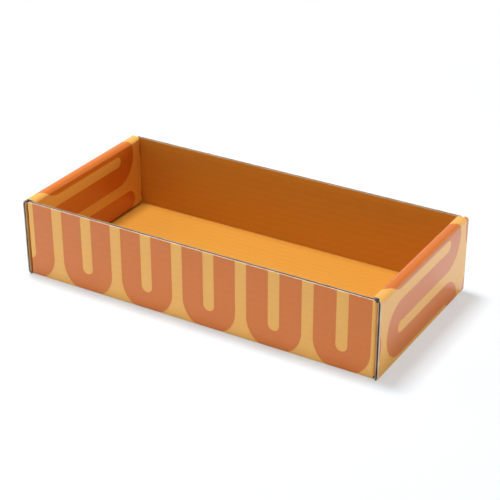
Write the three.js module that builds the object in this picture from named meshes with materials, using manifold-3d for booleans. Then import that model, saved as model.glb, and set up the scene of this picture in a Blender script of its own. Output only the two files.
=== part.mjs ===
// Roll end tray, folded from one die-cut sheet of corrugated board.
// Millimetres, +Z up, +X along the length, +Y across the width.
//
// The two long walls are one board thick, with a bare cut edge on top. Each end wall
// is rolled: it rises, turns over the two corner flaps of that end and comes down
// inside them, where a tab on its edge locks into a slot in the base.
//
// Every panel is a folded section, seen along its folds, trimmed to its die-cut
// outline. At a cut edge the fluted layer lies a little behind the two liners.

import * as THREE from "three";
import { mergeVertices } from "three/addons/utils/BufferGeometryUtils.js";
import Module from "manifold-3d";

const wasm = await Module();
wasm.setup();

// Space inside the folded tray
const insideLength = 303.6;
const insideWidth = 150;
const insideDepth = 64;

// Corrugated board
const board = 3;
const liner = 0.4;
const edgeRecess = 0.8;
const foldRadius = 0.4;
const foldSteps = 8;
const layerGap = 0.3;

// Rolled ends
const rollRise = 1;
const rollPlay = 0.6;
const shoulderRun = 1.6;
const shoulderSteps = 8;
const footGap = 1;

// Locking tabs and their slots
const tabWidth = 44;
const tabTaper = 2;
const tabBackset = 0.4;
const slotPlay = 0.4;

// Corner flaps, and the corners that they fold from
const flapSpacing = 26;
const flapHeadGap = 1.3;
const flapFootGap = 1.2;
const flapTaper = 7;
const wallCornerCut = 3;
const cornerNotch = 1.2;

// Overlap of pieces of the sheet that are joined, and reach of cutters past a face
const joinOverlap = 0.5;
const overcut = 0.25;
const clear = 5;

const printedBoard = { color: 0xd08a4c, roughness: 0.62, metalness: 0 };

// Outside of the folded tray, and faces that several panels share
const outerBend = foldRadius + board;
const endThickness = 3 * board + 2 * layerGap;
const halfLength = insideLength / 2 + endThickness;
const halfWidth = insideWidth / 2 + board;
const wallTop = board + insideDepth;
const rollTop = wallTop + rollRise;
const halfRoll = insideWidth / 2 - rollPlay;
const flapFace = halfLength - board - layerGap;
const flapTop = rollTop - board - flapHeadGap;
const flapFoot = board + flapFootGap;
const flapEnd = flapSpacing / 2;
const panelFace = halfLength - endThickness;
const panelFoot = board + footGap;
const notchStart = halfLength - outerBend - cornerNotch;

const whole = { face: 0, back: board };
const flutedLayer = { face: liner, back: board - liner };

/** A closed solid from a three.js geometry, with its faces turned outwards. */
function solidFrom(geometry) {
  geometry.deleteAttribute("normal");
  geometry.deleteAttribute("uv");
  const merged = mergeVertices(geometry);
  const position = merged.getAttribute("position");
  const triVerts = new Uint32Array(merged.index.array);
  const a = new THREE.Vector3();
  const b = new THREE.Vector3();
  const c = new THREE.Vector3();
  let volume = 0;
  for (let i = 0; i < triVerts.length; i += 3) {
    a.fromBufferAttribute(position, triVerts[i]);
    b.fromBufferAttribute(position, triVerts[i + 1]);
    c.fromBufferAttribute(position, triVerts[i + 2]);
    volume += a.dot(b.cross(c));
  }
  if (volume < 0) {
    triVerts.reverse();
  }
  const mesh = new wasm.Mesh({ numProp: 3, vertProperties: new Float32Array(position.array), triVerts });
  return new wasm.Manifold(mesh);
}

/** Extrudes an outline between two levels. place turns (p, q, level) into [x, y, z]. */
function prism(points, low, high, place) {
  const geometry = new THREE.ExtrudeGeometry(new THREE.Shape(points), {
    depth: high - low,
    bevelEnabled: false,
  });
  const position = geometry.getAttribute("position");
  for (let i = 0; i < position.count; i += 1) {
    const level = position.getZ(i) === 0 ? low : high;
    position.setXYZ(i, ...place(position.getX(i), position.getY(i), level));
  }
  return solidFrom(geometry);
}

/** A box between two corners, on the side of the tray that sideX and sideY name. */
function block(x, y, z, sideX = 1, sideY = 1) {
  const corners = [[x[0], y[0]], [x[1], y[0]], [x[1], y[1]], [x[0], y[1]]];
  const outline = corners.map(([p, q]) => new THREE.Vector2(p, q));
  return prism(outline, z[0], z[1], (p, q, level) => [sideX * p, sideY * q, level]);
}

/**
 * Section of a folded sheet, seen along its folds. It follows the sheet's outer face
 * from a start point, turning left by a right angle between one leg and the next.
 * The layer reaches from its face depth to its back depth below that outer face.
 */
function foldedSection(start, heading, legs, layer) {
  const outer = [];
  const inner = [];
  const at = start.clone();
  const ahead = heading.clone();
  const left = new THREE.Vector2(-ahead.y, ahead.x);
  const offset = (depth) => at.clone().addScaledVector(left, depth);
  legs.forEach((leg, index) => {
    outer.push(offset(layer.face));
    inner.push(offset(layer.back));
    at.addScaledVector(ahead, leg);
    outer.push(offset(layer.face));
    inner.push(offset(layer.back));
    if (index === legs.length - 1) {
      return;
    }
    const centre = offset(outerBend);
    for (let step = 1; step < foldSteps; step += 1) {
      const turn = (Math.PI / 2) * (step / foldSteps);
      const spoke = ahead.clone().multiplyScalar(Math.sin(turn)).addScaledVector(left, -Math.cos(turn));
      outer.push(centre.clone().addScaledVector(spoke, outerBend - layer.face));
      inner.push(centre.clone().addScaledVector(spoke, outerBend - layer.back));
    }
    at.copy(centre).addScaledVector(ahead, outerBend);
    ahead.copy(left);
    left.set(-ahead.y, ahead.x);
  });
  return [...outer, ...inner.reverse()].filter(
    (point, index, all) => point.distanceTo(all[(index + 1) % all.length]) > 0
  );
}

/** The flat base, with a slot at each end for the locking tab. */
function basePanel() {
  const reachX = halfLength - outerBend;
  const reachY = halfWidth - outerBend;
  let base = block([-reachX, reachX], [-reachY, reachY], [0, board]);
  const slotX = [panelFace - slotPlay, panelFace + board + slotPlay];
  const slotY = tabWidth / 2 + slotPlay;
  for (const side of [1, -1]) {
    base = base.subtract(block(slotX, [-slotY, slotY], [-clear, board + clear], side));
  }
  return base;
}

/**
 * Cutter for one shoulder of an end wall, where the wall narrows to the roll along a
 * quarter of an ellipse. It is drawn flat, as the sheet is cut, then bent round the
 * upper fold: the run is a length along the sheet's face, counted from that fold.
 */
function shoulderCut(sideX, sideY, inset) {
  const runStart = -shoulderRun - inset;
  const runEnd = outerBend * (Math.PI / 2);
  const edge = [];
  for (let step = 0; step <= shoulderSteps; step += 1) {
    const turn = (Math.PI / 2) * (step / shoulderSteps);
    const run = runStart + (runEnd - runStart) * Math.sin(turn);
    const width = halfRoll + (halfWidth - halfRoll) * Math.cos(turn) - inset;
    edge.push(new THREE.Vector2(run, width));
  }
  edge.push(new THREE.Vector2(runEnd + layerGap, halfRoll - inset));
  edge.push(new THREE.Vector2(runEnd + layerGap, halfWidth + clear));
  edge.push(new THREE.Vector2(runStart, halfWidth + clear));
  const bendX = halfLength - outerBend;
  const bendZ = rollTop - outerBend;
  return prism(edge, foldRadius / 2, outerBend + clear, (run, y, out) => {
    const turn = Math.max(run, 0) / outerBend;
    const x = bendX + out * Math.cos(turn);
    const z = bendZ + out * Math.sin(turn) + Math.min(run, 0);
    return [sideX * x, sideY * y, z];
  });
}

/**
 * One layer of a rolled end: outer wall, roll and inner panel, in one section, trimmed
 * to its outline. inset draws every cut edge back by that much.
 */
function rolledEnd(side, layer, inset) {
  const start = new THREE.Vector2(notchStart, 0);
  const rise = rollTop - 2 * outerBend;
  const across = endThickness - 2 * outerBend;
  const drop = rollTop - outerBend - tabBackset - inset;
  const section = foldedSection(start, new THREE.Vector2(1, 0), [cornerNotch, rise, across, drop], layer);
  const reach = halfWidth - inset;
  let end = prism(section, -reach, reach, (p, q, level) => [side * p, level, q]);

  const bendX = halfLength - outerBend;
  const inside = [panelFace - clear, bendX];
  const beside = [halfRoll - inset, halfWidth + clear];
  const tabHalf = tabWidth / 2 - inset;
  const tabTip = tabBackset + inset;
  const foot = panelFoot + inset;
  const panelX = [panelFace - clear, flapFace - board - layerGap / 2];
  for (const sideY of [1, -1]) {
    end = end.subtract(block(inside, beside, [board + layerGap, rollTop + clear], side, sideY));
    end = end.subtract(shoulderCut(side, sideY, inset));
    const stubY = [halfWidth - outerBend - inset, halfWidth + clear];
    end = end.subtract(block([notchStart - clear, bendX], stubY, [-clear, board + layerGap], side, sideY));
    const besideTab = [
      new THREE.Vector2(tabHalf - tabTaper, tabTip - clear),
      new THREE.Vector2(tabHalf - tabTaper, tabTip),
      new THREE.Vector2(tabHalf, tabTip + tabTaper),
      new THREE.Vector2(tabHalf, foot),
      new THREE.Vector2(halfWidth + clear, foot),
      new THREE.Vector2(halfWidth + clear, tabTip - clear),
    ];
    const place = (p, q, level) => [side * level, sideY * p, q];
    end = end.subtract(prism(besideTab, panelX[0], panelX[1], place));
  }
  return end;
}

/** The fold at the foot of a long wall, from the base to just above the bend. */
function wallFoot(side) {
  const start = new THREE.Vector2(halfWidth - outerBend - clear, 0);
  const section = foldedSection(start, new THREE.Vector2(1, 0), [clear, joinOverlap], whole);
  return prism(section, -notchStart, notchStart, (p, q, level) => [level, side * p, q]);
}

/** Space above the top edge of a long wall and of its corner flap. */
function aboveWall(sideX, sideY, inset) {
  const top = wallTop - inset;
  const edge = [
    new THREE.Vector2(-clear, top),
    new THREE.Vector2(flapFace - wallCornerCut, top),
    new THREE.Vector2(flapFace, flapTop - inset),
    new THREE.Vector2(flapFace + clear, flapTop - inset),
    new THREE.Vector2(flapFace + clear, wallTop + clear),
    new THREE.Vector2(-clear, wallTop + clear),
  ];
  const span = [halfWidth - board, halfWidth + clear];
  const wall = prism(edge, span[0], span[1], (p, q, level) => [sideX * p, sideY * level, q]);
  const flapX = [flapFace - board - clear, flapFace + clear];
  const flapY = [0, halfWidth - board];
  return wall.add(block(flapX, flapY, [flapTop - inset, wallTop + clear], sideX, sideY));
}

/** Outline of a corner flap, from the fold to its tapered free end. */
function flapOutline(sideX, sideY, inset) {
  const low = flapFoot + inset;
  const high = flapTop - inset;
  const end = flapEnd + inset;
  const fold = halfWidth - outerBend;
  const outline = [
    new THREE.Vector2(halfWidth + clear, outerBend),
    new THREE.Vector2(halfWidth + clear, wallTop + clear),
    new THREE.Vector2(halfWidth - board, wallTop + clear),
    new THREE.Vector2(halfWidth - board, high),
    new THREE.Vector2(end + flapTaper, high),
    new THREE.Vector2(end, high - flapTaper),
    new THREE.Vector2(end, low + flapTaper),
    new THREE.Vector2(end + flapTaper, low),
    new THREE.Vector2(fold, low),
    new THREE.Vector2(fold, outerBend),
  ];
  const span = [flapFace - outerBend, flapFace + clear];
  return prism(outline, span[0], span[1], (p, q, level) => [sideX * level, sideY * p, q]);
}

/** A quarter of the standing walls in one layer: half a long wall and its corner flap. */
function wallQuarter(sideX, sideY, layer, inset) {
  const straight = flapFace - outerBend;
  const flapLeg = halfWidth - outerBend - flapEnd;
  const start = new THREE.Vector2(halfWidth, -joinOverlap);
  const legs = [straight + joinOverlap, flapLeg];
  const section = foldedSection(start, new THREE.Vector2(0, 1), legs, layer);
  const sheet = prism(section, outerBend, wallTop, (p, q, level) => [sideX * q, sideY * p, level]);
  const wallSpan = block([-clear, straight], [0, halfWidth + clear], [0, wallTop + clear], sideX, sideY);
  return sheet.intersect(wallSpan.add(flapOutline(sideX, sideY, inset))).subtract(aboveWall(sideX, sideY, inset));
}

/** Cutter for the space between the liners along the cut edges of a panel. */
function edgeRecessOf(panel) {
  return panel(flutedLayer, -overcut).subtract(panel(flutedLayer, edgeRecess));
}

function foldedTray() {
  let tray = basePanel();
  const recesses = [];
  for (const side of [1, -1]) {
    const end = (layer, inset) => rolledEnd(side, layer, inset);
    tray = tray.add(end(whole, 0));
    recesses.push(edgeRecessOf(end));
    tray = tray.add(wallFoot(side));
  }
  for (const sideX of [1, -1]) {
    for (const sideY of [1, -1]) {
      const quarter = (layer, inset) => wallQuarter(sideX, sideY, layer, inset);
      tray = tray.add(quarter(whole, 0));
      recesses.push(edgeRecessOf(quarter));
    }
  }
  for (const recess of recesses) {
    tray = tray.subtract(recess);
  }
  return tray;
}

/** A named mesh from a solid. */
function meshFrom(solid, name, finish) {
  const { vertProperties, triVerts } = solid.getMesh();
  const geometry = new THREE.BufferGeometry();
  geometry.setAttribute("position", new THREE.BufferAttribute(vertProperties, 3));
  geometry.setIndex(new THREE.BufferAttribute(triVerts, 1));
  geometry.computeVertexNormals();
  const mesh = new THREE.Mesh(geometry, new THREE.MeshStandardMaterial(finish));
  mesh.name = name;
  return mesh;
}

const tray = new THREE.Group();
tray.add(meshFrom(foldedTray(), "folded_tray", printedBoard));

export default tray;
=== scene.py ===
"""Roll end tray, folded from one printed sheet of corrugated board.

The board is modelled as its three papers: the printed outer liner, the fluted medium
and the plain inner liner. Each is a strip that starts flat on the table and is folded
up crease by crease, so its edges show the layers that a die-cut edge shows.
Sizes are in metres. Along a strip the sheet is measured by its run, counted from the
middle of the base, and the print is laid out in those flat sheet measures.
"""

import logging
import math
from dataclasses import dataclass, replace
from enum import Enum
from typing import Callable, Optional, Sequence, Union

import bmesh
import bpy
from mathutils import Matrix, Vector


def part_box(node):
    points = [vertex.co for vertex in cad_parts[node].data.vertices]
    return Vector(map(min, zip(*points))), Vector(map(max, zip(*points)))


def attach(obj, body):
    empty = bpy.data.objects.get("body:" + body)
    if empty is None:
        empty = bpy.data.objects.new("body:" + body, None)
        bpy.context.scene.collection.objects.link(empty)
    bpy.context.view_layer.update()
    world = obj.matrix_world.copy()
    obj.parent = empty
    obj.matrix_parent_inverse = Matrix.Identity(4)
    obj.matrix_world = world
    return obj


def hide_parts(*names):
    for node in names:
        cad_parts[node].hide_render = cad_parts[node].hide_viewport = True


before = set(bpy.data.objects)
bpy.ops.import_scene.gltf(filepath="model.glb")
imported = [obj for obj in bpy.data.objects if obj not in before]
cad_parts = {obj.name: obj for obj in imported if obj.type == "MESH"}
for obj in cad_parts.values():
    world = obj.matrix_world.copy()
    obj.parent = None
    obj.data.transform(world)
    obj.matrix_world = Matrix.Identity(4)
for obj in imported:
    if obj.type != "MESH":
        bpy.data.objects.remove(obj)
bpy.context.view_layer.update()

MM = 0.001
NODE = "folded_tray"
BODY = "root"

# The attribute that holds a point's run, and the UV map of the flat sheet measures
RUN = "run"
BLANK = "blank"

# Points closer than MERGE are one point, and a point within NEAR of a line lies on it
MERGE = 0.001 * MM
NEAR = 0.01 * MM

SMOOTH_ANGLE = math.radians(30)
WHITE = (1.0, 1.0, 1.0, 1.0)

Colour = tuple[float, float, float, float]
Test = Callable[[Vector], bool]

log = logging.getLogger("roll_end_tray")


# Sizes


class Paper(Enum):
    """The three papers of the board, from the outside in."""

    PRINTED_LINER = "printed_liner"
    FLUTED_MEDIUM = "fluted_medium"
    INNER_LINER = "inner_liner"


class Side(Enum):
    """The two long sides of the tray, by the sign of their Y."""

    FRONT = -1
    BACK = 1


class Skin(Enum):
    """The material slots of a piece of paper."""

    FACE = 0
    BACK = 1
    CUT_EDGE = 2


@dataclass(frozen=True)
class Board:
    """Corrugated board and the way it folds.

    Attributes:
        thickness: Thickness of the whole board.
        liner: Thickness of a liner.
        medium: Thickness of the fluted paper.
        flute_pitch: Distance from flute to flute.
        flute_steps: Columns of points in one flute.
        washboard: Half the height of the flutes as they show through a liner.
        medium_recess: How far the flutes are crushed back from a cut edge.
        fold_radius: Radius of the inner face round a fold.
        fold_steps: Rows of faces round a fold.
        fold_take: Length of the sharp corner that a fold takes up.
        panel_rows: Rows of faces in a panel.
    """

    thickness: float = 3.0 * MM
    liner: float = 0.8 * MM
    medium: float = 0.4 * MM
    flute_pitch: float = 6.2 * MM
    flute_steps: int = 8
    washboard: float = 0.01 * MM
    medium_recess: float = 0.1 * MM
    fold_radius: float = 0.4 * MM
    fold_steps: int = 8
    fold_take: float = 2.75 * MM
    panel_rows: int = 6

    @property
    def outer_bend(self) -> float:
        """Radius of the outer face round a fold."""
        return self.fold_radius + self.thickness


@dataclass(frozen=True)
class PaperLayer:
    """Where one paper lies in the board.

    Attributes:
        depth: Depth of the modelled surface below the outer face.
        thickness: Thickness of the paper.
        wave: Half the height of its flutes.
        offset: Side of the surface that the thickness goes to, as Solidify takes it.
        recess: How far its cut edge lies behind the die-cut line.
    """

    depth: float
    thickness: float
    wave: float
    offset: float
    recess: float

    @staticmethod
    def of(paper: Paper, board: Board) -> "PaperLayer":
        """Finds the layer of a paper in the board.

        Args:
            paper: The paper.
            board: The board that it is part of.

        Returns:
            The layer.
        """
        if paper is Paper.PRINTED_LINER:
            return PaperLayer(board.washboard, board.liner, board.washboard, -1.0, 0.0)
        if paper is Paper.INNER_LINER:
            depth = board.thickness - board.liner - board.washboard
            return PaperLayer(depth, board.liner, board.washboard, -1.0, 0.0)
        wave = board.thickness / 2 - board.liner - board.medium / 2 - 2 * board.washboard
        return PaperLayer(board.thickness / 2, board.medium, wave, 0.0, board.medium_recess)


@dataclass(frozen=True)
class TrayPlan:
    """Outside of the folded tray and the faces that several panels share.

    Attributes:
        half_length: Half the length over the ends.
        half_width: Half the width over the long walls.
        roll_top: Height of the rolls.
        board: The board.
        layer_gap: Gap between the layers of a rolled end.
        roll_rise: How far the rolls stand above the long walls.
        roll_play: Gap between a roll and the long wall beside it.
        fold_margin: Edge of the base that is modelled with the fold of a long wall.
    """

    half_length: float
    half_width: float
    roll_top: float
    board: Board = Board()
    layer_gap: float = 0.3 * MM
    roll_rise: float = 1.0 * MM
    roll_play: float = 0.6 * MM
    fold_margin: float = 0.4 * MM

    @staticmethod
    def from_frame() -> "TrayPlan":
        """Reads the outside of the tray from the frame."""
        low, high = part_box(NODE)
        return TrayPlan(half_length=high.x, half_width=high.y, roll_top=high.z)

    @property
    def wall_top(self) -> float:
        """Height of the long walls."""
        return self.roll_top - self.roll_rise

    @property
    def half_base(self) -> float:
        """Half the width of the base, up to its margins."""
        return self.half_width - self.board.outer_bend - self.fold_margin

    @property
    def end_thickness(self) -> float:
        """Thickness of a rolled end: two walls with the corner flaps between them."""
        return 3 * self.board.thickness + 2 * self.layer_gap

    @property
    def half_roll(self) -> float:
        """Half the width of a roll and of its inner panel."""
        return self.half_width - self.board.thickness - self.roll_play

    @property
    def flap_face(self) -> float:
        """Outer face of the corner flaps."""
        return self.half_length - self.board.thickness - self.layer_gap


# Modelling


class Strip:
    """One paper strip, modelled in edit mode from a grid by extruding and spinning.

    It starts flat with its outer face down, runs along +X and spans Y.

    Attributes:
        name: Name of the finished piece.
        layer: Where the paper lies in the board.
        board: The board.
        run: Length of the sheet from the middle of the base to the last row.
        place: Where the outer face of the board is at the last row.
        heading: Way that the strip goes on from there.
        obj: The piece.
    """

    def __init__(self, name: str, layer: PaperLayer, board: Board) -> None:
        """Takes the strip's name and paper, before anything is laid down.

        Args:
            name: Name of the finished piece.
            layer: Where the paper lies in the board.
            board: The board.
        """
        self.name = name
        self.layer = layer
        self.board = board
        self.run = 0.0
        self.place = Vector((0.0, 0.0, 0.0))
        self.heading = Vector((1.0, 0.0, 0.0))
        self.obj: Optional[bpy.types.Object] = None

    def start(self, run: Sequence[float], span: Sequence[float]) -> None:
        """Lays down the first stretch of the strip as a fluted grid.

        Args:
            run: Where the stretch starts and ends along the sheet.
            span: Where it starts and ends across the sheet.
        """
        length = run[1] - run[0]
        width = span[1] - span[0]
        columns = round(width * self.board.flute_steps / self.board.flute_pitch)
        bpy.ops.object.select_all(action="DESELECT")
        bpy.ops.mesh.primitive_grid_add(x_subdivisions=1, y_subdivisions=columns, size=1.0)
        self.obj = bpy.context.object
        self.obj.name = self.name
        self.obj.data.name = self.name
        self.obj.data.attributes.new(RUN, "FLOAT", "POINT")
        for _ in Skin:
            self.obj.data.materials.append(None)
        bpy.ops.object.mode_set(mode="EDIT")
        bpy.ops.mesh.select_all(action="SELECT")
        bpy.ops.transform.resize(value=(length, width, 1.0), center_override=(0.0, 0.0, 0.0))
        middle = (run[0] + length / 2, span[0] + width / 2, self.layer.depth)
        bpy.ops.transform.translate(value=middle)
        self._flute(span[0], width / columns)
        self.pick(lambda co: True)
        self._tag(lambda vert: vert.co.x)
        self.run = run[1]
        self.place = Vector((run[1], 0.0, 0.0))
        self.pick(lambda co: co.x > middle[0])

    def _flute(self, low: float, spacing: float) -> None:
        """Moves the columns of the grid into the wave of the flutes.

        Args:
            low: Where the first column lies across the sheet.
            spacing: Distance between columns.
        """
        steps = self.board.flute_steps
        for phase in range(steps):
            self.pick(lambda co: round((co.y - low) / spacing) % steps == phase)
            lift = -self.layer.wave * math.cos(2 * math.pi * phase / steps)
            bpy.ops.transform.translate(value=(0.0, 0.0, lift))

    def _tag(self, run_of: Callable[[bmesh.types.BMVert], float]) -> None:
        """Writes the run of the selected points.

        Args:
            run_of: Gives the run of a point.
        """
        mesh = bmesh.from_edit_mesh(self.obj.data)
        runs = mesh.verts.layers.float[RUN]
        for vert in mesh.verts:
            if vert.select:
                vert[runs] = run_of(vert)
        bmesh.update_edit_mesh(self.obj.data)

    def pick(self, test: Test) -> int:
        """Selects the points whose place passes the test, and nothing else.

        Args:
            test: Says of a place whether its point is selected.

        Returns:
            The number of points selected.
        """
        mesh = bmesh.from_edit_mesh(self.obj.data)
        mesh.select_mode = {"VERT"}
        count = 0
        for face in mesh.faces:
            face.select = False
        for edge in mesh.edges:
            edge.select = False
        for vert in mesh.verts:
            vert.select = test(vert.co)
            count += vert.select
        mesh.select_flush(True)
        bmesh.update_edit_mesh(self.obj.data)
        return count

    def leg(self, length: float, rows: int = 1) -> None:
        """Carries the strip straight on.

        Args:
            length: Length of the leg.
            rows: Rows of faces along it.
        """
        step = self.heading * (length / rows)
        for _ in range(rows):
            bpy.ops.mesh.extrude_region_move(TRANSFORM_OT_translate={"value": tuple(step)})
            self.run += length / rows
            self.place += step
            self._tag(lambda vert: self.run)

    def fold(self, take: float, width: Optional[Callable[[float], float]] = None) -> None:
        """Folds the strip up by a right angle round the outer bend.

        Args:
            take: Length of the sharp corner that the fold takes up.
            width: Width of the strip as a share of that before the fold, by angle.
        """
        radius = self.board.outer_bend
        steps = self.board.fold_steps
        angle = math.pi / 2 / steps
        inward = Vector((-self.heading.z, 0.0, self.heading.x))
        centre = self.place + inward * radius
        share = 1.0
        for step in range(1, steps + 1):
            bpy.ops.mesh.spin(
                steps=1, dupli=False, angle=angle, center=tuple(centre), axis=(0.0, 1.0, 0.0)
            )
            self.run += (2 * radius - take) / steps
            self._tag(lambda vert: self.run)
            if width is not None:
                new_share = width(step * angle)
                self.widen(new_share / share)
                share = new_share
        self.place = centre + self.heading * radius
        self.heading = inward

    def widen(self, factor: float) -> None:
        """Scales the selected row across the strip."""
        bpy.ops.transform.resize(value=(1.0, factor, 1.0), center_override=(0.0, 0.0, 0.0))

    def cut(self, through: Vector, normal: Vector, within: Test, clear: bool = True) -> None:
        """Cuts the strip along a plane.

        Args:
            through: A point of the plane.
            normal: Its normal, which points at what is cut away.
            within: Says which points may be cut.
            clear: False to add the line only.
        """
        if self.pick(within):
            bpy.ops.mesh.bisect(
                plane_co=tuple(through), plane_no=tuple(normal), clear_outer=clear, threshold=MERGE
            )

    def divide(self, half_width: float, within: Test) -> None:
        """Adds two lines along the strip, one on each side of its middle.

        Args:
            half_width: Distance of each line from the middle.
            within: Says between which points they run.
        """
        for side in (-1.0, 1.0):
            through = Vector((0.0, side * half_width, 0.0))
            self.cut(through, Vector((0.0, side, 0.0)), within, clear=False)

    def drop(self, within: Test) -> None:
        """Deletes the faces whose middle passes the test.

        Args:
            within: Says of a middle whether its face goes.
        """
        mesh = bmesh.from_edit_mesh(self.obj.data)
        mesh.select_mode = {"FACE"}
        for vert in mesh.verts:
            vert.select = False
        for face in mesh.faces:
            face.select_set(within(face.calc_center_median()))
        bmesh.update_edit_mesh(self.obj.data)
        bpy.context.tool_settings.mesh_select_mode = (False, False, True)
        bpy.ops.mesh.delete(type="FACE")
        bpy.context.tool_settings.mesh_select_mode = (True, False, False)

    def close(self, mirrored: bool, outward: Callable[[Vector], Vector]) -> None:
        """Ends the modelling: turns the faces outward, mirrors the strip and gives it its thickness.

        Args:
            mirrored: Whether the strip is the half at +X of a whole one.
            outward: Gives the way out of the board at a place on the strip.
        """
        bpy.ops.mesh.select_all(action="SELECT")
        bpy.ops.mesh.remove_doubles(threshold=MERGE)
        bpy.ops.mesh.normals_make_consistent(inside=False)
        mesh = bmesh.from_edit_mesh(self.obj.data)
        mesh.faces.ensure_lookup_table()
        first = mesh.faces[0]
        if first.normal.dot(outward(first.calc_center_median())) < 0:
            bpy.ops.mesh.flip_normals()
        bpy.ops.object.mode_set(mode="OBJECT")
        if mirrored:
            mirror = self.obj.modifiers.new("other_half", "MIRROR")
            mirror.use_axis = (True, False, False)
            mirror.merge_threshold = NEAR
            bpy.ops.object.modifier_apply(modifier=mirror.name)
        paper = self.obj.modifiers.new("paper", "SOLIDIFY")
        paper.thickness = self.layer.thickness
        paper.offset = self.layer.offset
        paper.material_offset = Skin.BACK.value
        paper.material_offset_rim = Skin.CUT_EDGE.value
        bpy.ops.object.modifier_apply(modifier=paper.name)

    def map_blank(self, flat_of: Callable[[Vector, float], Sequence[float]]) -> None:
        """Writes the flat sheet measures of every point to the blank UV map.

        Args:
            flat_of: Turns a place and its run into the two sheet measures.
        """
        mesh = self.obj.data
        while mesh.uv_layers:
            mesh.uv_layers.remove(mesh.uv_layers[0])
        layer = mesh.uv_layers.new(name=BLANK)
        runs = mesh.attributes[RUN].data
        flat = [flat_of(vert.co, runs[vert.index].value) for vert in mesh.vertices]
        for loop in mesh.loops:
            layer.data[loop.index].uv = flat[loop.vertex_index]
        mesh.attributes.remove(mesh.attributes[RUN])

    def stand(self, turn: Matrix) -> None:
        """Turns the finished strip into its place, and leaves its object unturned.

        Args:
            turn: Where the strip goes from where it was folded.
        """
        bpy.ops.object.select_all(action="DESELECT")
        self.obj.select_set(True)
        bpy.context.view_layer.objects.active = self.obj
        self.obj.matrix_world = turn
        bpy.ops.object.transform_apply(location=True, rotation=True, scale=True)


# Sub-assemblies


@dataclass
class EndStrip:
    """The base with both rolled ends, folded from one strip along the tray.

    Each end rises, narrows at its shoulders, turns over the corner flaps and comes
    down inside them to a foot, where its tab enters a slot in the base.

    Attributes:
        plan: The tray's shared sizes.
        tab_width: Width of a locking tab.
        tab_taper: How far a tab narrows on each side, over the same length.
        tab_backset: Height of the tab's tip above the table.
        slot_play: Play of a tab in its slot, on each side.
        foot_gap: Gap between an inner panel and the base.
        shoulder_run: Part of a shoulder that lies below the roll's first crease.
    """

    plan: TrayPlan
    tab_width: float = 44.0 * MM
    tab_taper: float = 2.0 * MM
    tab_backset: float = 0.4 * MM
    slot_play: float = 0.4 * MM
    foot_gap: float = 1.6 * MM
    shoulder_run: float = 1.6 * MM

    def shoulder(self, angle: float) -> float:
        """Rounds the shoulder of the end wall, where it turns into the roll.

        Args:
            angle: Angle round the fold.

        Returns:
            Width of the wall there, as a share of its full width.
        """
        plan = self.plan
        whole = self.shoulder_run + plan.board.outer_bend * math.pi / 2
        part = (self.shoulder_run + plan.board.outer_bend * angle) / whole
        drop = plan.half_width - plan.half_roll
        return (plan.half_roll + drop * math.sqrt(max(0.0, 1 - part * part))) / plan.half_width

    def build(self, paper: Paper) -> bpy.types.Object:
        """Models one paper of the strip.

        Args:
            paper: The paper to model.

        Returns:
            The finished object.
        """
        plan = self.plan
        board = plan.board
        bend = board.outer_bend
        layer = PaperLayer.of(paper, board)
        strip = Strip(f"base_and_rolled_ends.{paper.value}", layer, board)

        # Base up to the first crease, with its slot
        crease = plan.half_length - bend
        panel_face = plan.half_length - plan.end_thickness
        slot_low = panel_face - self.slot_play
        slot_high = panel_face + board.thickness + self.slot_play
        half_slot = self.tab_width / 2 + self.slot_play
        strip.start((0.0, slot_low), (-plan.half_base, plan.half_base))
        strip.leg(slot_high - slot_low)
        strip.leg(crease - slot_high)
        strip.divide(half_slot, lambda co: slot_low - NEAR < co.x < slot_high + NEAR)
        strip.drop(lambda co: slot_low < co.x < slot_high and abs(co.y) < half_slot)
        strip.pick(lambda co: co.x > crease - NEAR)

        # Outer wall, shoulders, roll and inner panel
        full = (plan.half_width - layer.recess) / plan.half_base
        strip.fold(board.fold_take, lambda angle: full)
        strip.leg(plan.roll_top - 2 * bend - self.shoulder_run, board.panel_rows)
        strip.leg(self.shoulder_run)
        strip.fold(board.fold_take, self.shoulder)
        strip.leg(plan.end_thickness - 2 * bend)
        strip.fold(board.fold_take)
        foot = board.thickness + self.foot_gap + layer.recess
        panel = plan.roll_top - bend - foot
        strip.leg(panel, board.panel_rows)

        # Locking tab, under the last row of the inner panel
        inside = plan.half_length - 2 * board.thickness
        last_row = foot + panel / board.panel_rows
        half_tab = self.tab_width / 2 - layer.recess
        tip = self.tab_backset + layer.recess
        strip.divide(half_tab, lambda co: co.x < inside and foot - NEAR < co.z < last_row + NEAR)
        strip.pick(lambda co: co.x < inside and abs(co.z - foot) < NEAR and abs(co.y) < half_tab + MERGE)
        strip.leg(foot - tip - self.tab_taper)
        strip.leg(self.tab_taper)
        strip.widen((half_tab - self.tab_taper) / half_tab)
        strip.close(mirrored=True, outward=lambda co: Vector((0.0, 0.0, -1.0)))
        strip.map_blank(lambda co, run: (math.copysign(run, co.x), co.y))
        return strip.obj


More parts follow.
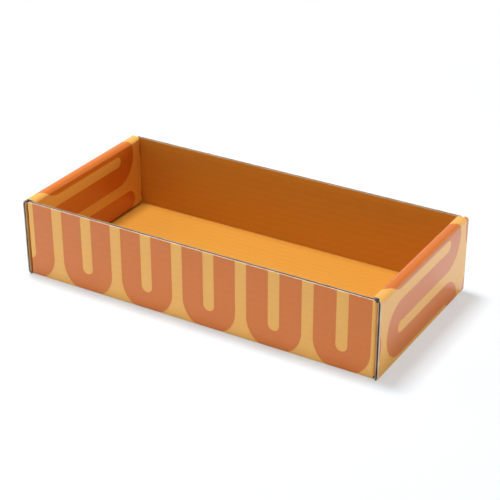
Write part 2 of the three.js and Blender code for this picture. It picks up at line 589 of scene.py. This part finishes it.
@dataclass
class LongWall:
    """A long wall, one board thick, with a corner flap folded in at each end.

    Attributes:
        plan: The tray's shared sizes.
        side: Side of the tray that the wall is on.
        flap_spacing: Distance between the two flaps in one end.
        flap_head_gap: Gap between a flap and the roll above it.
        flap_foot_gap: Gap between a flap and the base.
        flap_taper: Length of the cut corners at a flap's tip.
        corner_cut: Length of the slope from the wall's top edge down to a flap.
    """

    plan: TrayPlan
    side: Side
    flap_spacing: float = 26.0 * MM
    flap_head_gap: float = 1.3 * MM
    flap_foot_gap: float = 1.2 * MM
    flap_taper: float = 7.0 * MM
    corner_cut: float = 3.0 * MM

    def trim_flap(self, strip: Strip) -> None:
        """Cuts the corner of the wall and the outline of the flap.

        Args:
            strip: The strip, folded round the corner and with its flap at full width.
        """
        plan = self.plan
        board = plan.board
        bend = board.outer_bend
        recess = strip.layer.recess
        head_line = plan.roll_top - board.thickness - self.flap_head_gap
        head = head_line - recess
        foot = board.thickness + self.flap_foot_gap + recess
        slope = Vector((plan.wall_top - head_line, self.corner_cut, 0.0))
        strip.cut(Vector((plan.flap_face - recess, head, 0.0)), slope, lambda co: co.z < bend + NEAR)
        taper_start = plan.half_width - self.flap_spacing / 2 - recess - self.flap_taper
        for edge, way in ((head, 1.0), (foot, -1.0)):
            corner = Vector((0.0, edge, taper_start))
            strip.cut(corner, Vector((0.0, way, 0.0)), lambda co: co.z > bend - NEAR)
            strip.cut(corner, Vector((0.0, way, 1.0)), lambda co: co.z > bend - NEAR)

    def build(self, paper: Paper) -> bpy.types.Object:
        """Models one paper of the wall and its two corner flaps.

        Args:
            paper: The paper to model.

        Returns:
            The finished object.
        """
        plan = self.plan
        board = plan.board
        bend = board.outer_bend
        sign = self.side.value
        layer = PaperLayer.of(paper, board)
        strip = Strip(f"{self.side.name.lower()}_wall.{paper.value}", layer, board)
        strip.start((0.0, plan.flap_face - bend), (bend, plan.wall_top - layer.recess))
        strip.fold(board.fold_take)
        flap = plan.half_width - bend - self.flap_spacing / 2 - layer.recess
        strip.leg(flap, board.panel_rows)
        self.trim_flap(strip)

        def outward(co: Vector) -> Vector:
            """Way out of the board, on the flap and on the wall."""
            return Vector((1.0, 0.0, 0.0)) if co.z > bend else Vector((0.0, 0.0, -1.0))

        strip.close(mirrored=True, outward=outward)
        strip.map_blank(
            lambda co, run: (sign * math.copysign(run, co.x), sign * (plan.half_width + co.y))
        )

        # Stand the wall up on its side of the tray
        place = Matrix.Translation((0.0, plan.half_width, 0.0)) @ Matrix.Rotation(math.pi / 2, 4, "X")
        if self.side is Side.FRONT:
            place = Matrix.Rotation(math.pi, 4, "Z") @ place
        strip.stand(place)
        return strip.obj


@dataclass
class WallFold:
    """The fold between the base and a long wall, which runs along the flutes.

    Attributes:
        plan: The tray's shared sizes.
        side: Side of the tray that the fold is on.
        corner_notch: Length of the notch between the fold and an end's crease.
    """

    plan: TrayPlan
    side: Side
    corner_notch: float = 1.2 * MM

    def build(self, paper: Paper) -> bpy.types.Object:
        """Models one paper round the fold.

        Args:
            paper: The paper to model.

        Returns:
            The finished object.
        """
        plan = self.plan
        bend = plan.board.outer_bend
        sign = self.side.value
        layer = replace(PaperLayer.of(paper, plan.board), wave=0.0)
        strip = Strip(f"{self.side.name.lower()}_fold.{paper.value}", layer, plan.board)
        reach = plan.half_length - bend - self.corner_notch - layer.recess
        strip.start((plan.half_base, plan.half_width - bend), (-reach, reach))
        strip.fold(0.0)
        strip.close(mirrored=False, outward=lambda co: Vector((1.0, 0.0, -1.0)))
        strip.map_blank(lambda co, run: (-sign * co.y, sign * run))
        strip.stand(Matrix.Rotation(sign * math.pi / 2, 4, "Z"))
        return strip.obj


# Shader nodes

Value = Union["Signal", bpy.types.NodeSocket, float]


@dataclass(frozen=True)
class Grain:
    """A noise pattern.

    Attributes:
        scale: Number of its patches in a metre.
        detail: Number of finer noises in it.
        roughness: Strength of the finer noises.
        squeeze: Scale along X, below one where the patches are drawn out that way.
    """

    scale: float
    detail: float
    roughness: float = 0.5
    squeeze: float = 1.0


@dataclass(frozen=True)
class Relief:
    """How strongly a height shows as a bump, and its depth in metres."""

    strength: float
    depth: float


class Signal:
    """A value in a node tree that takes part in Python arithmetic."""

    def __init__(self, shader: "Shader", socket: bpy.types.NodeSocket) -> None:
        """Wraps the socket that gives the value."""
        self.shader = shader
        self.socket = socket

    def __add__(self, other: Value) -> "Signal":
        """This value plus another."""
        return self.shader.math("ADD", self, other)

    def __radd__(self, other: Value) -> "Signal":
        """Another value plus this one."""
        return self.shader.math("ADD", other, self)

    def __sub__(self, other: Value) -> "Signal":
        """This value less another."""
        return self.shader.math("SUBTRACT", self, other)

    def __rsub__(self, other: Value) -> "Signal":
        """Another value less this one."""
        return self.shader.math("SUBTRACT", other, self)

    def __mul__(self, other: Value) -> "Signal":
        """This value times another."""
        return self.shader.math("MULTIPLY", self, other)

    def __rmul__(self, other: Value) -> "Signal":
        """Another value times this one."""
        return self.shader.math("MULTIPLY", other, self)

    def __gt__(self, other: Value) -> "Signal":
        """One where this value is the greater, else zero."""
        return self.shader.math("GREATER_THAN", self, other)

    def __lt__(self, other: Value) -> "Signal":
        """One where this value is the smaller, else zero."""
        return self.shader.math("LESS_THAN", self, other)

    def __abs__(self) -> "Signal":
        """The size of this value."""
        return self.shader.math("ABSOLUTE", self)


class Shader:
    """A material whose nodes are written as expressions.

    Attributes:
        material: The material, or none where the tree belongs to something else.
        tree: The node tree.
    """

    def __init__(self, name: str, tree: Optional[bpy.types.NodeTree] = None) -> None:
        """Makes an empty material, or empties a tree that exists.

        Args:
            name: Name of the material.
            tree: The tree to write, instead of a new material's.
        """
        self.material: Optional[bpy.types.Material] = None
        if tree is None:
            self.material = bpy.data.materials.new(name)
            self.material.use_nodes = True
            tree = self.material.node_tree
        self.tree = tree
        self.tree.nodes.clear()

    @classmethod
    def inside(cls, tree: bpy.types.NodeTree) -> "Shader":
        """Writes the nodes of a tree that exists, such as the world's."""
        return cls("", tree)

    def node(
        self, kind: str, settings: Optional[dict] = None, inputs: Optional[dict] = None
    ) -> bpy.types.Node:
        """Adds a node.

        Args:
            kind: The node's type.
            settings: Its own settings, set before its sockets.
            inputs: Values or links of its sockets, by name or number.

        Returns:
            The node.
        """
        node = self.tree.nodes.new(kind)
        for key, value in (settings or {}).items():
            setattr(node, key, value)
        for key, value in (inputs or {}).items():
            self.feed(node.inputs[key], value)
        return node

    def feed(self, socket: bpy.types.NodeSocket, value: object) -> None:
        """Links a socket to a value, or sets it.

        Args:
            socket: The socket to feed.
            value: A signal or a socket to link, or a constant to set.
        """
        if isinstance(value, Signal):
            value = value.socket
        if isinstance(value, bpy.types.NodeSocket):
            self.tree.links.new(value, socket)
        else:
            socket.default_value = value

    def math(self, operation: str, *values: Value) -> Signal:
        """A Math node on one to three values."""
        inputs = dict(enumerate(values))
        return Signal(self, self.node("ShaderNodeMath", {"operation": operation}, inputs).outputs[0])

    def held(self, value: Value, low: float, high: float) -> Signal:
        """A value held between two limits."""
        return self.math("MINIMUM", self.math("MAXIMUM", value, low), high)

    def length(self, first: Signal, second: Signal) -> Signal:
        """Length of the slope over two sides at a right angle."""
        return self.math("SQRT", first * first + second * second)

    def smooth(self, value: Value, low: float, high: float) -> Signal:
        """Zero below low and one above high, with a smooth step between them.

        Args:
            value: The value.
            low: Where the step starts.
            high: Where it ends.

        Returns:
            The step.
        """
        inputs = {"Value": value, "From Min": low, "From Max": high}
        node = self.node("ShaderNodeMapRange", {"interpolation_type": "SMOOTHSTEP"}, inputs)
        return Signal(self, node.outputs["Result"])

    def mix(
        self, factor: Value, first: object, second: object, blend: str = "MIX"
    ) -> bpy.types.NodeSocket:
        """Mixes two colours.

        Args:
            factor: Share of the second colour.
            first: The first colour, as a socket or a constant.
            second: The second colour.
            blend: How the second is laid over the first.

        Returns:
            The mixed colour.
        """
        settings = {"data_type": "RGBA", "blend_type": blend}
        node = self.node("ShaderNodeMix", settings, {0: factor, 6: first, 7: second})
        return node.outputs[2]

    def grey(self, level: Signal) -> bpy.types.NodeSocket:
        """A grey of that level, as a colour."""
        return self.node("ShaderNodeCombineColor", {}, {0: level, 1: level, 2: level}).outputs[0]

    def noise(self, vector: bpy.types.NodeSocket, grain: Grain) -> Signal:
        """Noise over a vector, between zero and one.

        Args:
            vector: The vector.
            grain: The noise's scale and make.

        Returns:
            The noise.
        """
        if grain.squeeze != 1.0:
            inputs = {"Vector": vector, "Scale": (grain.squeeze, 1.0, 1.0)}
            vector = self.node("ShaderNodeMapping", {}, inputs).outputs[0]
        inputs = {
            "Vector": vector, "Scale": grain.scale, "Detail": grain.detail, "Roughness": grain.roughness
        }
        return Signal(self, self.node("ShaderNodeTexNoise", {}, inputs).outputs["Fac"])

    def place(self) -> bpy.types.NodeSocket:
        """The place on the piece, in metres."""
        return self.node("ShaderNodeTexCoord").outputs["Object"]

    def blank(self) -> tuple[Signal, Signal, bpy.types.NodeSocket]:
        """Reads the flat sheet measures from the blank UV map.

        Returns:
            The measures along and across the sheet, and both as a vector.
        """
        uv = self.node("ShaderNodeUVMap", {"uv_map": BLANK}).outputs[0]
        parts = self.node("ShaderNodeSeparateXYZ", {}, {0: uv})
        return Signal(self, parts.outputs[0]), Signal(self, parts.outputs[1]), uv

    def bump(
        self, height: Signal, relief: Relief, normal: Optional[bpy.types.NodeSocket] = None
    ) -> bpy.types.NodeSocket:
        """Bumps the surface by a height.

        Args:
            height: The height, between zero and one.
            relief: How strong and deep it shows.
            normal: A bump that lies under this one.

        Returns:
            The bumped normal.
        """
        inputs = {"Height": height, "Strength": relief.strength, "Distance": relief.depth}
        if normal is not None:
            inputs["Normal"] = normal
        return self.node("ShaderNodeBump", {}, inputs).outputs[0]

    def finish(self, **inputs: object) -> bpy.types.Material:
        """Ends the material in one principled shader.

        Args:
            inputs: Values or links of the shader's sockets, named with underscores.

        Returns:
            The material.
        """
        named = {key.replace("_", " "): value for key, value in inputs.items()}
        shader = self.node("ShaderNodeBsdfPrincipled", {}, named)
        output = self.node("ShaderNodeOutputMaterial")
        self.feed(output.inputs[0], shader.outputs[0])
        return self.material


def paint(red: int, green: int, blue: int) -> Colour:
    """Turns a colour's screen values into a linear colour.

    Args:
        red: Red, between 0 and 255.
        green: Green, likewise.
        blue: Blue, likewise.

    Returns:
        The linear colour, with an alpha of one.
    """
    def linear(value: int) -> float:
        """One channel, by the standard screen curve."""
        share = value / 255
        return share / 12.92 if share <= 0.04045 else ((share + 0.055) / 1.055) ** 2.4
    return linear(red), linear(green), linear(blue), 1.0


# Finishes


@dataclass(frozen=True)
class MeanderPrint:
    """A meander ornament: hairpin bands in columns, neighbouring columns mirrored.

    Attributes:
        band: Width of a band.
        half_period: Distance between the middles of neighbouring slots.
        column: Length of the bands, from turn to turn.
        column_gap: Bare gap between two columns.
        slots_left: Slots between the first one and the last band to its left.
        slots_right: Slots between the first one and the last band to its right.
        first_slot: A slot that is closed at the front, along the sheet.
        first_column: Front end of the middle column, across the sheet.
        soft: Softness of the ink's edge.
    """

    band: float = 18.95 * MM
    half_period: float = 28.7 * MM
    column: float = 130.0 * MM
    column_gap: float = 9.4 * MM
    slots_left: int = 10
    slots_right: int = 9
    first_slot: float = 15.7 * MM
    first_column: float = -66.3 * MM
    soft: float = 0.12 * MM

    def mask(self, shader: Shader, along: Signal, across: Signal, wobble: Value) -> Signal:
        """One on the bands and zero on the bare board.

        Args:
            shader: The material that the nodes go into.
            along: Measure along the sheet.
            across: Measure across the sheet.
            wobble: Small shift of the ink's edge.

        Returns:
            The mask.
        """
        half_band = self.band / 2
        turn = self.half_period / 2

        # The band covers all that lies within half its width of a line with half turns
        near =shader.math("PINGPONG", along - self.first_slot, self.half_period)
        start = self.first_column - self.column_gap / 2
        depth = shader.math("PINGPONG", across - start, self.column + self.column_gap)
        depth = depth - self.column_gap / 2
        reach = turn + half_band
        past = depth - shader.held(depth, reach, self.column - reach)
        at_far_end = past > 0.0
        at_near_end = past < 0.0
        side = near + at_far_end * (self.half_period - 2.0 * near)
        edge = abs(shader.length(side, past) - turn)

        # The line starts and ends in a round tip, on the last band at each end of the sheet
        beyond = depth - shader.held(depth, half_band, self.column - half_band)
        tip = shader.length(near - turn, beyond)
        last_left = self.first_slot - self.slots_left * self.half_period
        last_right = self.first_slot + self.slots_right * self.half_period
        closed = (along < last_left) * at_far_end + (along > last_right) * at_near_end
        edge = edge + closed * (tip - edge) + wobble
        return 1.0 - shader.smooth(edge, half_band - self.soft, half_band + self.soft)


@dataclass(frozen=True)
class PaperTone:
    """What both faces of the board share: paper fibres and washboard lines."""

    flute_pitch: float = Board.flute_pitch
    fibre_grain: Grain = Grain(scale=900.0, detail=4.0, roughness=0.6, squeeze=0.22)

    def fibres(self, shader: Shader, flat: bpy.types.NodeSocket) -> Signal:
        """Fine paper fibres that lie mostly along the sheet."""
        return shader.noise(flat, self.fibre_grain)

    def ridges(self, shader: Shader, across: Signal) -> Signal:
        """The flutes as they show through a liner, from zero to one."""
        wave = shader.math("SINE", across * (2 * math.pi / self.flute_pitch))
        return 0.5 + 0.5 * wave


@dataclass(frozen=True)
class PrintedLiner:
    """The outer liner, printed in terracotta on a tan ground and varnished.

    Attributes:
        ink: Colour of the ink.
        ground: Colour of the bare ground.
        ground_deep: Colour of its darker fibres.
        ground_share: Most of the darker colour that the fibres take.
        pattern: The print.
        tone: The paper's fibres and ridges.
        edge_grain: Noise of the ink's edge.
        edge_wobble: How far that noise moves the edge.
        starved_grain: Noise of the spots where the ink is thin.
        starved_step: Where in that noise a spot starts and is full.
        starved_share: Share of the ground that shows through a full spot.
        clouds: Noise of the wide, faint shading.
        cloud_shade: Depth of that shading.
        ridge_shade: Depth of the shading over the ridges.
        fibre_relief: Bump of the fibres.
        ridge_relief: Bump of the ridges.
        roughness: Roughness of the varnish.
        fibre_rough: What the fibres add to it.
        ink_gloss: What the ink takes from it.
        ior: Refraction of the paper.
        coat: Weight of the varnish's gloss.
        coat_roughness: Roughness of that gloss.
    """

    ink: Colour = paint(214, 113, 30)
    ground: Colour = paint(241, 179, 84)
    ground_deep: Colour = paint(232, 164, 70)
    ground_share: float = 0.5
    pattern: MeanderPrint = MeanderPrint()
    tone: PaperTone = PaperTone()
    edge_grain: Grain = Grain(scale=1400.0, detail=2.0)
    edge_wobble: float = 0.5 * MM
    starved_grain: Grain = Grain(scale=2600.0, detail=3.0, roughness=0.7, squeeze=0.3)
    starved_step: tuple[float, float] = (0.58, 0.78)
    starved_share: float = 0.35
    clouds: Grain = Grain(scale=14.0, detail=2.0)
    cloud_shade: float = 0.06
    ridge_shade: float = 0.02
    fibre_relief: Relief = Relief(strength=0.2, depth=0.03 * MM)
    ridge_relief: Relief = Relief(strength=0.3, depth=0.03 * MM)
    roughness: float = 0.3
    fibre_rough: float = 0.12
    ink_gloss: float = 0.04
    ior: float = 1.35
    coat: float = 0.5
    coat_roughness: float = 0.2

    def make(self) -> bpy.types.Material:
        """Makes the material.

        Returns:
            The material.
        """
        shader = Shader("printed_liner")
        along, across, flat = shader.blank()
        fibres = self.tone.fibres(shader, flat)
        ridges = self.tone.ridges(shader, across)
        wobble = (shader.noise(flat, self.edge_grain) - 0.5) * self.edge_wobble
        mask = self.pattern.mask(shader, along, across, wobble)
        ground = shader.mix(fibres * self.ground_share, self.ground, self.ground_deep)
        starved = shader.smooth(shader.noise(flat, self.starved_grain), *self.starved_step)
        ink = shader.mix(starved * self.starved_share, self.ink, self.ground)
        clouds = shader.noise(flat, self.clouds)
        shade = 1.0 - (ridges * self.ridge_shade + clouds * self.cloud_shade)
        colour = shader.mix(1.0, shader.mix(mask, ground, ink), shader.grey(shade), "MULTIPLY")
        fine = shader.bump(fibres, self.fibre_relief)
        return shader.finish(
            Base_Color=colour,
            Roughness=self.roughness + fibres * self.fibre_rough - mask * self.ink_gloss,
            Normal=shader.bump(ridges, self.ridge_relief, fine),
            IOR=self.ior,
            Coat_Weight=self.coat,
            Coat_Roughness=self.coat_roughness,
        )


@dataclass(frozen=True)
class PlainLiner:
    """The inner liner, plain orange-brown board with washboard lines.

    Attributes:
        colour: Colour of the board.
        deep: Its darker colour.
        tone: The paper's fibres and ridges.
        streaks: Noise of the streaks along the sheet.
        lines_per_flute: Fine lines to each flute, beside its ridge.
        fibre_share: Share of the fibres in the darker colour.
        streak_share: Share of the streaks in it.
        ridge_share: Share of the ridges in it.
        line_share: Share of the fine lines in it.
        line_height: Height of the fine lines, as a share of the ridges'.
        fibre_relief: Bump of the fibres.
        ridge_relief: Bump of the ridges and lines.
        roughness: Roughness of the paper.
        fibre_rough: What the fibres add to it.
        ior: Refraction of the paper.
    """

    colour: Colour = paint(217, 152, 48)
    deep: Colour = paint(206, 139, 39)
    tone: PaperTone = PaperTone()
    streaks: Grain = Grain(scale=420.0, detail=3.0, squeeze=0.06)
    lines_per_flute: float = 2.0
    fibre_share: float = 0.35
    streak_share: float = 0.35
    ridge_share: float = 0.2
    line_share: float = 0.1
    line_height: float = 0.5
    fibre_relief: Relief = Relief(strength=0.3, depth=0.05 * MM)
    ridge_relief: Relief = Relief(strength=0.25, depth=0.03 * MM)
    roughness: float = 0.62
    fibre_rough: float = 0.15
    ior: float = 1.45

    def make(self) -> bpy.types.Material:
        """Makes the material.

        Returns:
            The material.
        """
        shader = Shader("plain_liner")
        _, across, flat = shader.blank()
        fibres = self.tone.fibres(shader, flat)
        streaks = shader.noise(flat, self.streaks)
        ridges = self.tone.ridges(shader, across)
        lines = self.tone.ridges(shader, across * self.lines_per_flute)
        blend = fibres * self.fibre_share + streaks * self.streak_share
        blend = blend + ridges * self.ridge_share + lines * self.line_share
        fine = shader.bump(fibres, self.fibre_relief)
        return shader.finish(
            Base_Color=shader.mix(blend, self.colour, self.deep),
            Roughness=self.roughness + fibres * self.fibre_rough,
            Normal=shader.bump(ridges + lines * self.line_height, self.ridge_relief, fine),
            IOR=self.ior,
        )


@dataclass(frozen=True)
class CutPaper:
    """A die-cut paper edge, with its pale torn fibres.

    Attributes:
        name: Name of the material.
        light: Its lighter colour.
        dark: Its darker colour.
        grain: Noise of the torn fibres.
        patches: Noise of the patches along the edge.
        patch_share: Share of the patches in the colour.
        tone_step: Where in the blend of both the lighter colour starts and is full.
        relief: Bump of the fibres.
        roughness: Roughness of the edge.
    """

    name: str
    light: Colour
    dark: Colour
    grain: Grain = Grain(scale=1500.0, detail=4.0, roughness=0.65)
    patches: Grain = Grain(scale=90.0, detail=2.0)
    patch_share: float = 0.4
    tone_step: tuple[float, float] = (0.35, 0.68)
    relief: Relief = Relief(strength=0.6, depth=0.08 * MM)
    roughness: float = 0.85

    def make(self) -> bpy.types.Material:
        """Makes the material.

        Returns:
            The material.
        """
        shader = Shader(self.name)
        place = shader.place()
        grain = shader.noise(place, self.grain)
        patches = shader.noise(place, self.patches)
        blend = grain * (1.0 - self.patch_share) + patches * self.patch_share
        colour = shader.mix(shader.smooth(blend, *self.tone_step), self.dark, self.light)
        normal = shader.bump(grain, self.relief)
        return shader.finish(Base_Color=colour, Roughness=self.roughness, Normal=normal)


@dataclass(frozen=True)
class Finishes:
    """The finishes of the board, by paper: its face, its back and its cut edge."""

    printed: PrintedLiner = PrintedLiner()
    plain: PlainLiner = PlainLiner()
    edge: CutPaper = CutPaper("cut_liner", paint(236, 226, 214), paint(200, 182, 162))
    inner_edge: CutPaper = CutPaper("cut_inner_liner", paint(198, 174, 148), paint(150, 124, 98))
    medium: CutPaper = CutPaper("fluted_medium", paint(158, 132, 106), paint(116, 92, 68))

    def make(self) -> dict[Paper, list[bpy.types.Material]]:
        """Makes the materials.

        Returns:
            The materials of each paper, in the order of its slots.
        """
        printed = self.printed.make()
        plain = self.plain.make()
        medium = self.medium.make()
        return {
            Paper.PRINTED_LINER: [printed, medium, self.edge.make()],
            Paper.FLUTED_MEDIUM: [medium, medium, medium],
            Paper.INNER_LINER: [medium, plain, self.inner_edge.make()],
        }


# Studio


@dataclass(frozen=True)
class Lamp:
    """A soft lamp with a flat rectangular face, which looks at the tray.

    Attributes:
        name: Name of the lamp.
        power: Its power in watts.
        width: Width of its face.
        height: Height of its face.
        place: Where it hangs.
        mirrored: Whether varnish mirrors its face.
    """

    name: str
    power: float
    width: float
    height: float
    place: tuple[float, float, float]
    mirrored: bool = True

    def hang(self) -> None:
        """Adds the lamp."""
        data = bpy.data.lights.new(self.name, "AREA")
        data.energy = self.power
        data.shape = "RECTANGLE"
        data.size = self.width
        data.size_y = self.height
        lamp = bpy.data.objects.new(self.name, data)
        lamp.visible_camera = False
        lamp.visible_glossy = self.mirrored
        bpy.context.collection.objects.link(lamp)
        lamp.location = self.place
        lamp.rotation_mode = "QUATERNION"
        lamp.rotation_quaternion = (-Vector(self.place)).to_track_quat("-Z", "Y")


@dataclass(frozen=True)
class Studio:
    """Pale floor, soft light and the camera.

    Attributes:
        eye: Where the camera stands.
        azimuth: Way that it looks, in degrees to the left of +Y.
        elevation: Angle by which it looks down, in degrees.
        roll: Its turn about its own line of sight, in degrees.
        focal_pixels: Its focal length, in pixels of the photograph.
        image_pixels: Width of the photograph, in pixels.
        sensor: Width of its sensor, in millimetres.
        clip: Nearest and furthest distance that it sees.
        floor_size: Width of the floor.
        floor_colour: Colour of the floor under the lamps.
        floor_fade: Distances from the middle between which the shadow fades out.
        shadow_lift: How much of the white lies over the shadow near the tray.
        world_level: Strength of the light from all round.
        backdrop_rise: Rises between which the mirrored backdrop darkens, as sines.
        lamps: The lamps.
    """

    eye: tuple[float, float, float] = (531.3 * MM, -881.6 * MM, 578.4 * MM)
    azimuth: float = 30.77
    elevation: float = 28.06
    roll: float = -0.08
    focal_pixels: float = 1436.3
    image_pixels: float = 500.0
    sensor: float = 36.0
    clip: tuple[float, float] = (0.01, 100.0)
    floor_size: float = 12.0
    floor_colour: Colour = paint(234, 244, 251)
    floor_fade: tuple[float, float] = (0.3, 0.6)
    shadow_lift: float = 0.46
    world_level: float = 0.23
    backdrop_rise: tuple[float, float] = (0.2, 0.6)
    lamps: tuple[Lamp, ...] = (
        Lamp("overhead", power=19.0, width=0.26, height=0.4, place=(-0.25, 0.05, 1.4)),
        Lamp("soft_left", power=8.4, width=1.6, height=1.2, place=(-1.3, -0.12, 0.75)),
        Lamp("low_front", power=2.95, width=1.4, height=0.1, place=(0.1, -1.2, 0.07), mirrored=False),
        Lamp("low_right", power=8.1, width=1.4, height=0.36, place=(1.1, 0.9, 0.2), mirrored=False),
    )

    def camera(self) -> None:
        """Sets the camera where the photograph was taken from."""
        data = bpy.data.cameras.new("camera")
        data.sensor_width = self.sensor
        data.lens = self.sensor * self.focal_pixels / self.image_pixels
        data.clip_start, data.clip_end = self.clip
        camera = bpy.data.objects.new("camera", data)
        bpy.context.collection.objects.link(camera)
        turn = math.radians(self.azimuth)
        lean = math.radians(self.elevation)
        level = math.cos(lean)
        ahead = Vector((-math.sin(turn) * level, math.cos(turn) * level, -math.sin(lean)))
        roll = Matrix.Rotation(math.radians(self.roll), 4, "Z").to_quaternion()
        camera.rotation_mode = "QUATERNION"
        camera.rotation_quaternion = ahead.to_track_quat("-Z", "Y") @ roll
        camera.location = self.eye
        bpy.context.scene.camera = camera

    def floor(self) -> None:
        """Adds the floor, which is white to the camera and keeps the tray's soft shadow."""
        bpy.ops.object.select_all(action="DESELECT")
        bpy.ops.mesh.primitive_plane_add(size=self.floor_size)
        floor = bpy.context.object
        floor.name = "floor"
        shader = Shader("floor")
        path = shader.node("ShaderNodeLightPath")
        seen = Signal(shader, path.outputs["Is Camera Ray"])
        paper = shader.node("ShaderNodeBsdfDiffuse", {}, {"Color": self.floor_colour})
        white = shader.node("ShaderNodeEmission", {}, {"Color": WHITE, "Strength": 1.0})
        away = shader.node("ShaderNodeVectorMath", {"operation": "LENGTH"}, {0: shader.place()})
        fade = shader.smooth(away.outputs["Value"], *self.floor_fade)
        lift = self.shadow_lift + fade * (1.0 - self.shadow_lift)
        inputs = {0: seen * lift, 1: paper.outputs[0], 2: white.outputs[0]}
        both = shader.node("ShaderNodeMixShader", {}, inputs)
        output = shader.node("ShaderNodeOutputMaterial")
        shader.feed(output.inputs[0], both.outputs[0])
        floor.data.materials.append(shader.material)

    def world(self) -> None:
        """Lights the tray softly from all round, with a white backdrop behind the floor.

        The camera sees white everywhere. Gloss sees the backdrop, which is white at
        the horizon and darkens above it.
        """
        world = bpy.data.worlds.new("studio")
        world.use_nodes = True
        shader = Shader.inside(world.node_tree)
        path = shader.node("ShaderNodeLightPath")
        seen = Signal(shader, path.outputs["Is Camera Ray"])
        glossy = Signal(shader, path.outputs["Is Glossy Ray"])
        through = Signal(shader, path.outputs["Is Transmission Ray"])
        way = shader.node("ShaderNodeTexCoord").outputs["Generated"]
        height = shader.node("ShaderNodeSeparateXYZ", {}, {0: way}).outputs["Z"]
        backdrop = 1.0 - shader.smooth(height, *self.backdrop_rise)
        mirrored = shader.math("MAXIMUM", glossy, through) * backdrop
        shown = shader.math("MAXIMUM", seen, mirrored)
        level = self.world_level + shown * (1.0 - self.world_level)
        light = shader.node("ShaderNodeBackground", {}, {"Color": WHITE, "Strength": level})
        output = shader.node("ShaderNodeOutputWorld")
        shader.feed(output.inputs[0], light.outputs[0])
        bpy.context.scene.world = world

    def build(self) -> None:
        """Builds the studio."""
        self.camera()
        self.floor()
        self.world()
        for lamp in self.lamps:
            lamp.hang()
        bpy.context.scene.view_settings.view_transform = "Standard"


def dress(piece: bpy.types.Object, materials: Sequence[bpy.types.Material]) -> None:
    """Gives a finished piece its materials, its shading and its place in the frame.

    Args:
        piece: The piece.
        materials: Its materials, in the order of its slots.
    """
    for slot, material in enumerate(materials):
        piece.data.materials[slot] = material
    bpy.ops.object.select_all(action="DESELECT")
    piece.select_set(True)
    bpy.context.view_layer.objects.active = piece
    bpy.ops.object.shade_smooth_by_angle(angle=SMOOTH_ANGLE)
    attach(piece, BODY)
    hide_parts(NODE)
    log.info("%s: %d faces", piece.name, len(piece.data.polygons))


def main() -> None:
    """Builds the tray, dresses it and sets it in the studio."""
    logging.basicConfig(level=logging.INFO, format="%(name)s: %(message)s")
    Studio().build()
    plan = TrayPlan.from_frame()
    materials = Finishes().make()
    assemblies: list[Union[EndStrip, LongWall, WallFold]] = [EndStrip(plan)]
    for side in Side:
        assemblies += [LongWall(plan, side), WallFold(plan, side)]
    for assembly in assemblies:
        for paper in Paper:
            dress(assembly.build(paper), materials[paper])


if __name__ == "__main__":
    main()
